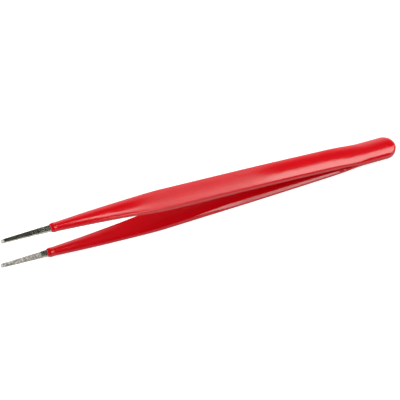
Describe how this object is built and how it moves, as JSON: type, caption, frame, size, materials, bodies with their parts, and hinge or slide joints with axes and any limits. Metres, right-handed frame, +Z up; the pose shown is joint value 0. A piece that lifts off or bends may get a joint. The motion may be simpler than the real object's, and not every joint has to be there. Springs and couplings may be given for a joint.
{
  "type": "electronics tweezers",
  "caption": "Straight tweezers with serrated steel jaws and a glossy red dipped skin over two sprung arms joined at a rounded heel.",
  "frame": {"origin": "middle of the tweezers' box, on the surface that the lower arm lies on", "axes": "+X along the tweezers from the jaws towards the rounded heel, +Y across the arms, +Z up from the lower arm to the upper arm"},
  "size_m": [0.1502, 0.0088, 0.0182],
  "materials": {
    "steel": "satin stainless steel, ground across the jaws",
    "weld": "dull weld metal, hidden",
    "skin": "glossy dipped soft plastic"
  },
  "bodies": {
    "heel": {"heel_blade_upper": "steel", "heel_blade_lower": "steel", "weld_nuggets": "weld", "heel_skin": "skin"},
    "upper_arm": {"upper_blade": "steel", "upper_skin": "skin"},
    "lower_arm": {"lower_blade": "steel", "lower_skin": "skin"}
  },
  "joints": [
    {"name": "upper_flex", "type": "hinge", "parent": "heel", "child": "upper_arm", "pos_m": [0.05172, 0, 0.005], "axis": [0, -1, 0], "range_deg": [0, 3.16], "stiffness_Nm_per_rad": 3},
    {"name": "lower_flex", "type": "hinge", "parent": "heel", "child": "lower_arm", "pos_m": [0.05152, 0, 0.00148], "axis": [0, 1, 0], "range_deg": [0, 3.16], "stiffness_Nm_per_rad": 3}
  ]
}
